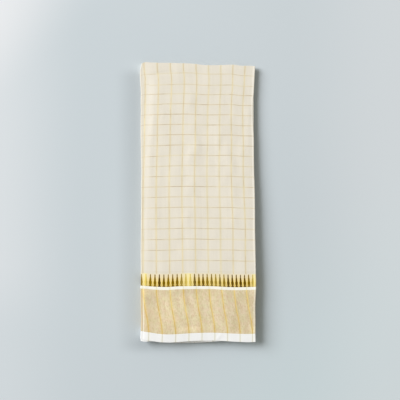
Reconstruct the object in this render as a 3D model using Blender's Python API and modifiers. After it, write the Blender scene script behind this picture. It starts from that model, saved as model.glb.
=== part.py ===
"""A dhoti: one hand-woven length of checked cotton, folded flat into a long pad.

The length is folded in half across its width, so that its fold is the pad's top edge and both
woven borders lie at the hem. It is then folded in half four times along its length. The last of
those folds is the round left side. The top panel turns under at the right, round the upper half
of the stack. Everything inside it is one rounded solid, with a ridge for each hidden panel.

+X runs to the pad's right, +Y from the hem to the top fold, +Z up, and the pad lies on z = 0.
All sizes are in metres.
"""

import math

import bmesh
import bpy
import numpy as np

# The cloth as woven, and how often it is folded.
CLOTH_LENGTH = 4.0
CLOTH_WIDTH = 1.20
LENGTH_HALVINGS = 4
PANELS = 2**LENGTH_HALVINGS
PANEL_WIDTH = CLOTH_LENGTH / PANELS
PANEL_HEIGHT = CLOTH_WIDTH / 2
HALF_WIDTH = PANEL_WIDTH / 2
HALF_HEIGHT = PANEL_HEIGHT / 2

# A panel is two layers of cloth, modelled as one wall. Pieces stand a gap apart.
PANEL_WALL = 0.0012
GAP = 0.0003
CORE_CLEARANCE = PANEL_WALL + 0.0003

# The woven bands, from the hem up: node, colour, where it starts, the steps along it, its sheen.
BANDS = (
    # node, red, green, blue, start, steps, metallic
    ("selvedge_band", 0.90, 0.90, 0.88, 0.0000, 2, 0.0),
    ("tissue_band", 0.73, 0.61, 0.38, 0.0187, 4, 0.3),
    ("white_stripe", 0.90, 0.89, 0.82, 0.1129, 1, 0.0),
    ("temple_band", 0.38, 0.26, 0.04, 0.1191, 2, 0.6),
    ("ground_leaf", 0.80, 0.75, 0.63, 0.1464, 15, 0.0),
)
# The ground's steps are even up to here, then close up round the drop to the top fold.
TOP_DROP_STATIONS = (0.574, 0.585, 0.593)
CORE_COLOUR = (0.82, 0.79, 0.70)
CLOTH_ROUGHNESS = 0.85

# How far the side folds lie inside the panel's nominal width.
SIDES = (
    # from the hem, left inset, right inset
    (0.000, 0.0014, 0.0017),
    (0.018, 0.0007, 0.0022),
    (0.047, 0.0008, 0.0024),
    (0.077, 0.0006, 0.0023),
    (0.116, 0.0003, 0.0005),
    (0.202, 0.0006, 0.0015),
    (0.288, 0.0012, 0.0026),
    (0.370, 0.0021, 0.0044),
    (0.442, 0.0009, 0.0055),
    (0.494, 0.0010, 0.0067),
    (0.528, 0.0019, 0.0055),
    (0.562, 0.0015, 0.0038),
    (0.590, 0.0012, 0.0028),
    (0.600, 0.0034, 0.0027),
)

# How far the hem and the top fold lie inside the panel's nominal height.
ENDS = (
    # share of the width from the left, hem inset, top inset
    (0.000, 0.0040, 0.0030),
    (0.030, 0.0023, 0.0006),
    (0.080, 0.0018, 0.0002),
    (0.235, 0.0000, 0.0005),
    (0.320, 0.0007, 0.0009),
    (0.430, 0.0025, 0.0016),
    (0.560, 0.0027, 0.0033),
    (0.680, 0.0030, 0.0035),
    (0.800, 0.0018, 0.0036),
    (0.935, 0.0001, 0.0060),
    (1.000, 0.0010, 0.0075),
)

# The stack's height, and the width and drop of the soft shoulder above the left fold.
PROFILE = (
    # from the hem, stack height, shoulder width, shoulder drop, left turn's reach
    (0.000, 0.0168, 0.012, 0.0010, 0.0045),
    (0.020, 0.0178, 0.012, 0.0012, 0.0045),
    (0.120, 0.0182, 0.012, 0.0016, 0.0045),
    (0.250, 0.0168, 0.013, 0.0018, 0.0043),
    (0.400, 0.0149, 0.018, 0.0026, 0.0047),
    (0.500, 0.0137, 0.027, 0.0036, 0.0058),
    (0.574, 0.0127, 0.026, 0.0028, 0.0060),
    (0.590, 0.0119, 0.023, 0.0019, 0.0056),
    (0.600, 0.0104, 0.020, 0.0012, 0.0050),
)

# The long waves of the border, lifted most at the hem.
RIPPLES = (
    # share of the width from the left, lift
    (0.00, -0.0003),
    (0.22, 0.0008),
    (0.56, -0.0008),
    (0.90, 0.0007),
    (1.00, 0.0001),
)
RIPPLE_REACH = 0.16

# The right side: the fold's reach, the bead along its crest, and how far the panel turns back in.
RIGHT_TURN = 0.0034
BEAD_RISE = 0.0004
BEAD_WIDTH = 0.0040
TURN_BACK = 0.0080
UNDERSIDE_INSET = 0.0030

# Where the top of a section is divided, as shares of the way from the left turn to the right.
TOP_STOPS = (0.0, 0.025, 0.055, 0.10, 0.17, 0.27, 0.38, 0.49, 0.60, 0.71, 0.81, 0.90, 0.965, 1.0)
LEFT_TURN_STEPS = 8
RIGHT_TURN_STEPS = 6
UNDERSIDE_STEPS = 8

# The hidden panels: half of them lie in each half of the stack, joined round the left fold.
HIDDEN_PANELS = PANELS // 2 - 1
RIDGE_SHAPE = ((0.30, 1.0), (0.68, 0.9), (1.00, 0.0))
RIDGE_DEPTH = 0.0010
TOP_RIDGE_SHARE = 0.7
HEM_INSET = 0.0016
HEM_SCATTER = 0.0009
TOP_FOLD_INSET = 0.0012
TOP_FOLD_SCATTER = 0.0006
MID_SLIT = 0.0004
NOSE_CLEARANCE = 0.0003
INNER_TURN = 0.0005
# The right ends of the hidden panels below the middle: two cut ends, then the earlier folds.
LOWER_RIGHT_INSETS = (0.0046, 0.0028, 0.0036, 0.0024, 0.0022, 0.0018, 0.0026)


def smooth_row(table, at):
    """The table's columns after the first, on a cubic curve through its rows."""
    rows = np.array(table)
    keys, values = rows[:, 0], rows[:, 1:]
    at = min(max(at, keys[0]), keys[-1])
    low = min(int(np.searchsorted(keys, at, side="right")), len(keys) - 1) - 1
    slopes = np.gradient(values, keys, axis=0)
    span = keys[low + 1] - keys[low]
    share = (at - keys[low]) / span
    rise = values[low + 1] - values[low]
    eased = share * share * (3 - 2 * share)
    leave = share * (1 - share) ** 2 * span * slopes[low]
    arrive = share * share * (1 - share) * span * slopes[low + 1]
    return values[low] + rise * eased + leave - arrive


def fade(distance, reach):
    """1 at no distance, falling smoothly to 0 at the reach."""
    share = min(max(distance / reach, 0.0), 1.0)
    return (1 + math.cos(math.pi * share)) / 2


def side_edges(from_hem):
    """x of the left and the right fold at a distance from the hem."""
    left, right = smooth_row(SIDES, from_hem)
    return -HALF_WIDTH + left, HALF_WIDTH - right


def plan_y(x, from_hem, extra_hem=0.0, extra_top=0.0):
    """y of a point of the cloth: the hem and the top fold both wander, and the weft follows them."""
    left, right = side_edges(from_hem)
    across = (x - left) / (right - left)
    hem, top = smooth_row(ENDS, min(max(across, 0.0), 1.0))
    low = -HALF_HEIGHT + hem + extra_hem
    high = HALF_HEIGHT - top - extra_top
    return low + (high - low) * from_hem / PANEL_HEIGHT


def stack_top(x, from_hem):
    """Height of the stack's top: its taper, left shoulder, right bead and long waves."""
    left, right = side_edges(from_hem)
    height, shoulder_width, shoulder_drop, reach = smooth_row(PROFILE, from_hem)
    start, end = left + reach, right - RIGHT_TURN
    x = min(max(x, start), end)
    across = (x - left) / (right - left)
    height -= shoulder_drop * fade(x - start, shoulder_width)
    height += BEAD_RISE * fade(end - x, BEAD_WIDTH)
    height += smooth_row(RIPPLES, across)[0] * fade(from_hem, RIPPLE_REACH)
    return height


def left_turn_reach(from_hem):
    return smooth_row(PROFILE, from_hem)[3]


def leaf_section(from_hem):
    """The outer panel's outer line as (x, z), from the tip of its right turn round to the underside."""
    left, right = side_edges(from_hem)
    reach = left_turn_reach(from_hem)
    turn_start = right - RIGHT_TURN
    shoulder = left + reach
    tip = turn_start - TURN_BACK
    crest = stack_top(turn_start, from_hem)
    under_turn = crest / 2 + GAP / 2
    points = [(tip, stack_top(tip, from_hem) / 2 + GAP / 2)]
    middle, radius = (crest + under_turn) / 2, (crest - under_turn) / 2
    for step in range(RIGHT_TURN_STEPS):
        angle = -math.pi / 2 + math.pi * step / RIGHT_TURN_STEPS
        points.append((turn_start + RIGHT_TURN * math.cos(angle), middle + radius * math.sin(angle)))
    for share in reversed(TOP_STOPS):
        x = shoulder + (turn_start - shoulder) * share
        points.append((x, stack_top(x, from_hem)))
    half = stack_top(shoulder, from_hem) / 2
    for step in range(1, LEFT_TURN_STEPS + 1):
        angle = math.pi / 2 + math.pi * step / LEFT_TURN_STEPS
        points.append((shoulder + reach * math.cos(angle), half + half * math.sin(angle)))
    for step in range(1, UNDERSIDE_STEPS + 1):
        end = right - UNDERSIDE_INSET
        points.append((shoulder + (end - shoulder) * step / UNDERSIDE_STEPS, 0.0))
    return points


def mesh_object(name, mesh_data, collection):
    made = bpy.data.objects.new(name, mesh_data)
    collection.objects.link(made)
    return made


def paint(part, colour, metallic=0.0):
    """Gives the part its own Principled material."""
    material = bpy.data.materials.new(part.name)
    material.use_nodes = True
    shader = material.node_tree.nodes["Principled BSDF"]
    shader.inputs["Base Color"].default_value = (*colour, 1.0)
    shader.inputs["Roughness"].default_value = CLOTH_ROUGHNESS
    shader.inputs["Metallic"].default_value = metallic
    material.diffuse_color = (*colour, 1.0)
    part.data.materials.append(material)


def grid_surface(columns, rows, place):
    """A grid of columns by rows whose points are moved by place(column, row)."""
    surface = bmesh.new()
    bmesh.ops.create_grid(surface, x_segments=columns, y_segments=rows, size=0.5)
    for point in surface.verts:
        column = round((point.co.x + 0.5) * columns)
        row = round((point.co.y + 0.5) * rows)
        point.co = place(column, row)
    return surface


def band_stations(start, end, steps):
    """Distances from the hem at which a band's sections stand."""
    if end < PANEL_HEIGHT:
        return [start + (end - start) * step / steps for step in range(steps + 1)]
    even_end = TOP_DROP_STATIONS[0]
    even = [start + (even_end - start) * step / steps for step in range(steps)]
    return even + list(TOP_DROP_STATIONS) + [PANEL_HEIGHT]


def build_band(band, end, collection):
    """One woven band of the outer panel: an open sheet round both folds, given its wall."""
    name, red, green, blue, start, steps, metallic = band
    low = start + (GAP / 2 if start > 0 else 0.0)
    high = end - (GAP / 2 if end < PANEL_HEIGHT else 0.0)
    stations = band_stations(low, high, steps)
    sections = [leaf_section(from_hem) for from_hem in stations]

    def place(column, row):
        x, z = sections[row][column]
        return x, plan_y(x, stations[row]), z

    surface = grid_surface(len(sections[0]) - 1, len(stations) - 1, place)
    # The grid's columns run right to left over the top, so its faces are turned to look outwards.
    bmesh.ops.reverse_faces(surface, faces=surface.faces)
    data = bpy.data.meshes.new(name)
    surface.to_mesh(data)
    surface.free()
    data.shade_smooth()
    part = mesh_object(name, data, collection)
    wall = part.modifiers.new("wall", "SOLIDIFY")
    wall.thickness = PANEL_WALL
    wall.offset = -1.0
    wall.use_even_offset = True
    paint(part, (red, green, blue), metallic)
    return part


def turn_normal(angle, reach, half_height):
    """The outward direction of an ellipse at an angle, so that a line inside it keeps one distance."""
    across, up = math.cos(angle) / reach, math.sin(angle) / half_height
    length = math.hypot(across, up)
    return across / length, up / length


def core_columns(from_hem):
    """The hidden panels' path as (outer x, outer z, inner x, inner z), from lower right to upper right."""
    left, right = side_edges(from_hem)
    reach = left_turn_reach(from_hem)
    turn_start = right - RIGHT_TURN
    shoulder = left + reach
    end = right - UNDERSIDE_INSET
    shoulder_half = stack_top(shoulder, from_hem) / 2
    columns = []
    for step in range(UNDERSIDE_STEPS, 0, -1):
        x = shoulder + (end - shoulder) * step / UNDERSIDE_STEPS
        columns.append((x, CORE_CLEARANCE, x, stack_top(x, from_hem) / 2 - MID_SLIT / 2))
    for step in range(LEFT_TURN_STEPS + 1):
        angle = -math.pi / 2 - math.pi * step / LEFT_TURN_STEPS
        out_x, out_z = turn_normal(angle, reach, shoulder_half)
        outer_x = shoulder + reach * math.cos(angle) - CORE_CLEARANCE * out_x
        outer_z = shoulder_half + shoulder_half * math.sin(angle) - CORE_CLEARANCE * out_z
        inner_x = shoulder + INNER_TURN * math.cos(angle)
        inner_z = shoulder_half + MID_SLIT / 2 * math.sin(angle)
        columns.append((outer_x, outer_z, inner_x, inner_z))
    for share in TOP_STOPS[1:]:
        x = shoulder + (turn_start - shoulder) * share
        top = stack_top(x, from_hem)
        lift = 0.0
        if x > turn_start - 2 * TURN_BACK:
            lift = GAP / 2 + CORE_CLEARANCE - MID_SLIT / 2
        columns.append((x, top - CORE_CLEARANCE, x, top / 2 + MID_SLIT / 2 + lift))
    return columns


def ridge_levels():
    """Shares of the way from the middle of the stack outwards, and how far out each one's ridge is."""
    levels = [(0.0, 0.0, 0)]
    for panel in range(HIDDEN_PANELS):
        for share, out in RIDGE_SHAPE:
            levels.append(((panel + share) / HIDDEN_PANELS, out, panel))
    levels.append((1.0, 0.0, HIDDEN_PANELS - 1))
    return levels


def scatter(panel, lower):
    """A small uneven number from -1 to 1 for each hidden panel, in place of careful stacking."""
    return math.sin(2.3 * panel + (1.1 if lower else 4.0)) * 0.6 + math.sin(5.1 * panel) * 0.4


def core_stations():
    """The bands' own stations, so that the hidden solid follows the panel over it everywhere."""
    stations = []
    for index, band in enumerate(BANDS):
        end = BANDS[index + 1][4] if index + 1 < len(BANDS) else PANEL_HEIGHT
        stations += band_stations(band[4], end, band[5])[:-1]
    return stations + [PANEL_HEIGHT]


def build_inner_layers(collection):
    """The hidden panels as one solid: a thick sheet folded round the left side, ridged at its ends."""
    stations = core_stations()
    sections = [core_columns(from_hem) for from_hem in stations]
    levels = ridge_levels()
    last_column, last_row, last_level = len(sections[0]) - 1, len(stations) - 1, len(levels) - 1
    middle_column = UNDERSIDE_STEPS + LEFT_TURN_STEPS / 2

    def place(column, row, level):
        share, out, panel = levels[level]
        outer_x, outer_z, inner_x, inner_z = sections[row][column]
        x = inner_x + (outer_x - inner_x) * share
        z = inner_z + (outer_z - inner_z) * share
        lower = column < middle_column
        if column == 0:
            x -= LOWER_RIGHT_INSETS[panel] - UNDERSIDE_INSET + RIDGE_DEPTH * (1 - out)
        if column == last_column:
            nose = math.sqrt(max(0.0, 1 - (2 * share - 1) ** 2))
            x += (RIGHT_TURN - CORE_CLEARANCE - NOSE_CLEARANCE) * nose
        groove = RIDGE_DEPTH * (1 - out)
        uneven = scatter(panel, lower)
        hem = groove + HEM_INSET + HEM_SCATTER * uneven
        top = TOP_FOLD_INSET
        if row == last_row:
            top += groove * TOP_RIDGE_SHARE + TOP_FOLD_SCATTER * uneven
        y = plan_y(x, stations[row], 0.0, top)
        if row == 0:
            y = -HALF_HEIGHT + hem
        return x, y, z

    solid = bmesh.new()

    def add_side(columns, rows, place_side):
        side = grid_surface(columns, rows, place_side)
        data = bpy.data.meshes.new("side")
        side.to_mesh(data)
        side.free()
        solid.from_mesh(data)
        bpy.data.meshes.remove(data)

    for level in (0, last_level):
        add_side(last_column, last_row, lambda c, r, fixed=level: place(c, r, fixed))
    for row in (0, last_row):
        add_side(last_column, last_level, lambda c, n, fixed=row: place(c, fixed, n))
    for column in (0, last_column):
        add_side(last_row, last_level, lambda r, n, fixed=column: place(fixed, r, n))
    bmesh.ops.remove_doubles(solid, verts=solid.verts, dist=1e-6)
    bmesh.ops.recalc_face_normals(solid, faces=solid.faces)
    data = bpy.data.meshes.new("inner_layers")
    solid.to_mesh(data)
    solid.free()
    data.shade_smooth()
    data.set_sharp_from_angle(angle=math.radians(40))
    part = mesh_object("inner_layers", data, collection)
    paint(part, CORE_COLOUR)
    return part


def main():
    for leftover in list(bpy.data.objects):
        bpy.data.objects.remove(leftover)
    collection = bpy.data.collections.new("folded_dhoti")
    bpy.context.scene.collection.children.link(collection)
    for index, band in enumerate(BANDS):
        end = BANDS[index + 1][4] if index + 1 < len(BANDS) else PANEL_HEIGHT
        build_band(band, end, collection)
    build_inner_layers(collection)


main()
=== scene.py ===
"""A folded dhoti: handwoven checked cotton with a temple border, laid flat on a pale floor.

The cloth is one length, 4.0 by 1.2 metres, folded in half across its width and then four times along
its length. Every layer of it is a thin sheet here: 16 doubled panels that lie on each other and turn
round each other at the sides, as real folds do.

Two numbers name a place on the cloth. "Along" runs with the cloth's length and "from hem" is the
distance from the woven border. Both are in metres, and they are each piece's UV map, so every stripe,
check and figure of the weave follows the cloth round its folds.
"""

import functools
import math
from typing import NamedTuple

import bpy
import numpy as np
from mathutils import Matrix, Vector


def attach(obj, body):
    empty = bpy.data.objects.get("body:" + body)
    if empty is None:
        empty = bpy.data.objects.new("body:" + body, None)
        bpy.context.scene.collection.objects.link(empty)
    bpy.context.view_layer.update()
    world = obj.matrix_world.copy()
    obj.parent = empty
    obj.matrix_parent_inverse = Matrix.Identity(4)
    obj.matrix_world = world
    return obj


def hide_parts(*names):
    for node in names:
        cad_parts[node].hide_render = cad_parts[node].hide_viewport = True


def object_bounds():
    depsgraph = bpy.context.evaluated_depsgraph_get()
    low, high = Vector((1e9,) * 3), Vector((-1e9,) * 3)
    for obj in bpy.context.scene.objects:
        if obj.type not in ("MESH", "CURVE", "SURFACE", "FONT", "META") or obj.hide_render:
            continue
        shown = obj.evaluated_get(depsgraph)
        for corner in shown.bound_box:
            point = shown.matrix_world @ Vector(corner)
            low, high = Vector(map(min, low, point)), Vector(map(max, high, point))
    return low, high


bl_info = {
    "name": "Folded dhoti",
    "version": (1, 0, 0),
    "blender": (4, 5, 0),
    "location": "View3D > Sidebar > Dhoti",
    "description": "Builds a folded handwoven dhoti with a temple border, and a plain stage for it",
    "category": "Object",
}

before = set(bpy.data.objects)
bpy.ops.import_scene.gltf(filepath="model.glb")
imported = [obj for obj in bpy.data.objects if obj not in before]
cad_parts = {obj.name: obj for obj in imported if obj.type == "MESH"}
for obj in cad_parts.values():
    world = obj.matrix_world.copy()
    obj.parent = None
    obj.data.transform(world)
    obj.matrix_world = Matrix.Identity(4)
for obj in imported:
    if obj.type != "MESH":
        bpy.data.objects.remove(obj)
CAD_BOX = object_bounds()
CAD_TOP = CAD_BOX[1][2]

# ---------------------------------------------------------------- the folded cloth, in metres

PANEL_WIDTH = 0.250
PANEL_HEIGHT = 0.600
HALF_WIDTH = PANEL_WIDTH / 2
HALF_HEIGHT = PANEL_HEIGHT / 2
# The stack is two halves of doubled panels, joined at the left fold. Each half's layers are counted
# inwards, two to a panel, so the outer panel's are 0 and 1.
PANELS_A_HALF = 8
LAYERS_A_HALF = 2 * PANELS_A_HALF
OUTER_LAYERS = 2

# The woven bands, as distances from the hem.
SELVEDGE_TOP = 0.0187
TISSUE_TOP = 0.1129
STRIPE_TOP = 0.1191
TEMPLE_TOP = 0.1464
# The temple figures' tips stop this far below their band's top.
TIP_GAP = 0.0011

# How far the side folds lie inside the panel's nominal width.
SIDES = (
    # from the hem, left inset, right inset
    (0.000, 0.0018, 0.0022),
    (0.018, 0.0026, 0.0027),
    (0.047, 0.0032, 0.0027),
    (0.077, 0.0026, 0.0031),
    (0.116, 0.0022, 0.0015),
    (0.150, 0.0027, 0.0019),
    (0.202, 0.0022, 0.0028),
    (0.245, 0.0031, 0.0034),
    (0.288, 0.0033, 0.0036),
    (0.335, 0.0033, 0.0044),
    (0.370, 0.0036, 0.0054),
    (0.399, 0.0027, 0.0057),
    (0.442, 0.0020, 0.0060),
    (0.464, 0.0019, 0.0070),
    (0.494, 0.0021, 0.0084),
    (0.515, 0.0020, 0.0075),
    (0.535, 0.0023, 0.0060),
    (0.562, 0.0011, 0.0047),
    (0.582, 0.0004, 0.0038),
    (0.592, 0.0018, 0.0032),
    (0.600, 0.0038, 0.0030),
)

# How far the hem and the top fold lie inside the panel's nominal height.
ENDS = (
    # share of the width from the left, hem inset, hidden panels' hem inset, white stripe's lift, top inset
    (0.000, 0.0080, 0.0042, 0.0037, 0.0024),
    (0.030, 0.0068, 0.0026, 0.0034, -0.0004),
    (0.076, 0.0054, 0.0034, 0.0022, 0.0002),
    (0.154, 0.0025, 0.0034, 0.0011, 0.0009),
    (0.235, 0.0014, 0.0028, 0.0007, 0.0010),
    (0.320, 0.0022, 0.0032, 0.0021, 0.0017),
    (0.430, 0.0041, 0.0036, 0.0026, 0.0024),
    (0.560, 0.0053, 0.0030, 0.0028, 0.0058),
    (0.640, 0.0054, 0.0029, 0.0024, 0.0060),
    (0.720, 0.0046, 0.0042, 0.0012, 0.0056),
    (0.810, 0.0032, 0.0042, 0.0004, 0.0050),
    (0.885, 0.0024, 0.0036, 0.0006, 0.0074),
    (0.935, 0.0020, 0.0033, 0.0010, 0.0072),
    (1.000, 0.0028, 0.0037, 0.0015, 0.0081),
)

# How far the lowest layer's hem lies inside the top one's.
TUCKS = (
    # share of the width from the left, inset
    (0.00, 0.0055),
    (0.06, 0.0040),
    (0.14, 0.0000),
    (0.70, 0.0000),
    (0.84, 0.0050),
    (0.93, 0.0080),
    (1.00, 0.0085),
)
# The tuck starts at this share of the stack's depth, grows to the whole inset over this further share, and
# fades out this far up from the hem.
TUCK_START, TUCK_DEPTH, TUCK_REACH = 0.05, 0.55, 0.12

# How much the threads above or below them follow the hem, the white stripe and the top fold.
WANDER_REACH = (
    # from the hem, share of the hem's inset, share of the stripe's lift, share of the top fold's inset
    (0.000, 1.00, 0.00, 0.00),
    (0.019, 0.94, 0.06, 0.00),
    (0.116, 0.00, 1.00, 0.04),
    (0.150, 0.00, 0.60, 0.12),
    (0.200, 0.00, 0.14, 0.20),
    (0.260, 0.00, 0.00, 0.22),
    (0.380, 0.00, 0.00, 0.28),
    (0.500, 0.00, 0.00, 0.60),
    (0.575, 0.00, 0.00, 0.88),
    (0.600, 0.00, 0.00, 1.00),
)
# How much nearer the top fold the threads along the cloth lie than evenly spaced ones would.
LIFTS = (
    # from the hem, lift at the left, further lift in the middle, further lift at the right
    (0.000, 0.0000, 0.0000, 0.0000),
    (0.019, -0.0006, -0.0010, -0.0002),
    (0.116, 0.0000, 0.0000, 0.0000),
    (0.150, 0.0004, 0.0008, 0.0006),
    (0.173, 0.0010, 0.0018, 0.0013),
    (0.218, 0.0024, 0.0020, 0.0011),
    (0.262, 0.0027, 0.0026, 0.0011),
    (0.307, 0.0031, 0.0025, 0.0011),
    (0.352, 0.0026, 0.0024, 0.0016),
    (0.396, 0.0006, 0.0041, 0.0034),
    (0.441, 0.0022, 0.0025, 0.0021),
    (0.486, 0.0023, 0.0019, 0.0018),
    (0.530, 0.0007, 0.0026, 0.0028),
    (0.552, -0.0023, 0.0031, 0.0041),
    (0.575, -0.0014, 0.0047, 0.0037),
    (0.600, 0.0000, 0.0000, 0.0000),
)

# The stack's height, the width and drop of the soft shoulder above the left fold, and how far that fold
# reaches out from the shoulder.
PROFILE = (
    # from the hem, stack height, shoulder width, shoulder drop, left fold's reach
    (0.000, 0.0200, 0.012, 0.0001, 0.0022),
    (0.020, 0.0208, 0.012, 0.0001, 0.0020),
    (0.112, 0.0213, 0.012, 0.0002, 0.0021),
    (0.150, 0.0211, 0.012, 0.0006, 0.0034),
    (0.250, 0.0187, 0.013, 0.0006, 0.0035),
    (0.330, 0.0162, 0.015, 0.0010, 0.0038),
    (0.400, 0.0140, 0.018, 0.0016, 0.0045),
    (0.500, 0.0121, 0.027, 0.0022, 0.0056),
    (0.574, 0.0115, 0.026, 0.0017, 0.0056),
    (0.590, 0.0114, 0.023, 0.0012, 0.0044),
    (0.600, 0.0111, 0.020, 0.0006, 0.0034),
)

# The long waves of the border, lifted most at the hem.
RIPPLES = (
    # share of the width from the left, lift
    (0.00, 0.0005),
    (0.22, 0.0006),
    (0.56, -0.0007),
    (0.88, 0.0005),
    (1.00, 0.0009),
)
RIPPLE_REACH = 0.16

# The right fold's reach, how much of it is gone at the innermost fold, and the bead pressed up beside it.
RIGHT_TURN = 0.0022
RIGHT_NESTING = 0.85
BEAD_RISE = 0.0003
BEAD_WIDTH = 0.0024
# A narrow groove beside the left fold of the border, where the edge of a panel below shows through. It
# runs from the hem to its reach, and fades out over its last part.
GROOVE_INSET = 0.0037
GROOVE_WIDTH = 0.0023
GROOVE_DEPTH = 0.00045
GROOVE_REACH, GROOVE_END = 0.118, 0.012
# The side folds are pressed: each is an ellipse squared off by raising its sine and cosine to this.
PRESSED_LEFT, PRESSED_RIGHT = 0.30, 0.42
# The left fold's soft dents and bulges, as slanting waves.
FOLD_WAVES = (
    # waves a metre along the fold, waves over half its height, phase, depth
    (11.0, 0.7, 0.6, 0.00013),
    (27.0, -0.5, 2.9, 0.00008),
    (5.0, 1.6, 4.2, 0.00012),
    (61.0, 0.2, 1.1, 0.00003),
)

# Soft troughs and ridges of the top panel, each along a line from one place to another.
CREASES = (
    # x at its start, from hem, x at its end, from hem, half width, rise
    (-0.0895, 0.580, -0.0885, 0.420, 0.0060, -0.00022),
    (-0.1190, 0.577, -0.0200, 0.574, 0.0034, -0.00032),
    (-0.0300, 0.573, 0.1180, 0.570, 0.0040, -0.00018),
    (-0.0640, 0.565, -0.0700, 0.300, 0.0100, -0.00022),
    (-0.0180, 0.560, -0.0220, 0.210, 0.0080, 0.00028),
    (0.0120, 0.470, 0.0180, 0.180, 0.0120, -0.00024),
    (0.0480, 0.545, 0.0430, 0.300, 0.0070, 0.00030),
    (0.0750, 0.420, 0.0820, 0.170, 0.0090, 0.00020),
    (0.0960, 0.530, 0.0990, 0.390, 0.0060, -0.00025),
    (-0.0900, 0.330, -0.0860, 0.160, 0.0090, 0.00020),
    (-0.1150, 0.128, -0.1030, 0.020, 0.0040, 0.00035),
    (-0.0900, 0.100, -0.0700, 0.010, 0.0070, 0.00030),
    (-0.0350, 0.150, -0.0300, 0.060, 0.0060, 0.00035),
    (-0.0250, 0.112, 0.0000, 0.004, 0.0080, -0.00030),
    (0.0400, 0.095, 0.0620, 0.008, 0.0090, 0.00025),
    (0.0850, 0.104, 0.1080, 0.012, 0.0070, -0.00028),
    (-0.0080, 0.560, -0.0100, 0.180, 0.0110, 0.00052),
    (0.0700, 0.570, 0.0660, 0.240, 0.0140, 0.00060),
    (-0.0360, 0.270, -0.0400, 0.170, 0.0110, -0.00030),
    (0.0985, 0.545, 0.0960, 0.230, 0.0140, 0.00052),
    (0.0380, 0.001, 0.0505, 0.020, 0.0030, 0.00045),
)
# A crease's line wavers by this share of its half width, and its rise varies by the same share of itself,
# each in waves of so many radians a metre whose phase comes from x where the crease starts or ends.
CREASE_WAVER = 0.35
LINE_WAVES, LINE_PHASE = 31.0 / 0.3, 90.0
RISE_WAVES, RISE_PHASE = 17.0 / 0.3, 50.0
# It tapers to its ends as half a sine wave raised to this.
CREASE_TAPER = 0.6
# The cloth is flatter by this share at its side folds, and for this far in from them.
CALM_SHARE, CALM_REACH = 0.7, 0.004
# Fine unevenness of the laid cloth, as waves that cross each other.
UNEVENNESS = (
    # waves a metre across, waves a metre up, phase, height
    (17.0, 3.1, 0.4, 0.00011),
    (29.0, -4.7, 2.1, 0.00006),
    (8.0, 9.5, 4.4, 0.00013),
    (-11.0, 15.0, 1.2, 0.00007),
    (46.0, 6.0, 5.3, 0.000030),
)

# Where the gold cross stripes lie on the top panel: the first and the last of nine, and how far the
# middle ones stand to the right of evenly spaced. "Along" is 0 at the first.
CROSS_STRIPES = (
    # from the hem, x of the first, x of the last, bulge
    (0.0045, -0.1059, 0.1158, 0.0028),
    (0.0187, -0.1055, 0.1156, 0.0029),
    (0.0460, -0.1084, 0.1131, 0.0032),
    (0.0760, -0.1140, 0.1072, 0.0036),
    (0.1075, -0.1178, 0.1033, 0.0037),
    (0.1480, -0.1179, 0.1013, 0.0031),
    (0.1860, -0.1180, 0.1005, 0.0027),
    (0.2560, -0.1182, 0.1001, 0.0023),
    (0.3230, -0.1179, 0.0972, 0.0024),
    (0.3660, -0.1168, 0.0960, 0.0026),
    (0.4110, -0.1157, 0.0966, 0.0030),
    (0.4560, -0.1152, 0.0956, 0.0034),
    (0.5000, -0.1146, 0.0955, 0.0042),
    (0.5220, -0.1136, 0.0961, 0.0045),
    (0.5430, -0.1134, 0.0976, 0.0045),
    (0.5660, -0.1137, 0.0987, 0.0042),
    (0.5880, -0.1163, 0.0996, 0.0035),
    (0.5965, -0.1167, 0.1000, 0.0034),
)
CROSS_PITCH = 0.0270
CROSS_COUNT = 9
# "Along" where the hidden panels' paths start.
HIDDEN_ALONG = -0.6

# How far each hidden panel's hem and top fold lie inside or outside the outer panel's.
HIDDEN_PANELS = (
    # panel from outside, hem shift, top fold shift, extra gap before it, offset of its second hem
    (0, 0.0000, 0.0000, 0.0, 0.0006),
    (1, 0.0002, 0.0010, 0.2, 0.0007),
    (2, 0.0011, 0.0016, 0.1, -0.0006),
    (3, -0.0002, 0.0009, 0.9, 0.0008),
    (4, 0.0016, 0.0019, 0.2, -0.0007),
    (5, 0.0004, 0.0012, 1.1, 0.0010),
    (6, 0.0013, 0.0021, 0.3, -0.0006),
    (7, 0.0000, 0.0015, 0.4, 0.0005),
)
# How far in from the edges those shifts and gaps fade out.
SHIFT_REACH = 0.030
GAP_REACH = 0.050

# How far inside the right side's line the lower half's folds and cut ends stop.
LOWER_ENDS = (
    # last layer, inset
    (7, 0.0022),
    (11, 0.0036),
    (13, 0.0030),
    (15, 0.0048),
)
LOWER_TURN = 0.0030

# How finely each run is divided: near its left end, near its right end, and between them. The ends'
# steps lie within these shares of the run, and crowd towards it as this power of an even spacing.
TOP_STEPS = (16, 12, 96)
UNDER_STEPS = (6, 4, 28)
HIDDEN_STEPS = (4, 5, 8)
LEFT_PART, RIGHT_PART, CROWDING = 0.10, 0.08, 1.4
# How finely the outer and the hidden panels' turns are divided, and the roll at the top fold.
TURN_STEPS, HIDDEN_TURN_STEPS, ROLL_STEPS = 10, 8, 4
# The outer panel ends this share of the way along its first and last runs, out of sight, and the hidden
# panels carry on from there.
INSIDE_SHARE, INSIDE_STEPS = 0.82, 6
# Stops nearer than this to the place where the two meet are left out.
LEAST_STEP = 0.02
# Which leg of the outer panel's path is the one on top.
TOP_LEG = 2
# Where the left fold's layers have a point: distances out from the shoulder, then heights, as shares.
LEFT_OUT = (0.0, 0.22, 0.40, 0.55, 0.68, 0.78, 0.86, 0.92)
LEFT_UP = (0.80, 0.66, 0.50, 0.34, 0.17)

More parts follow.
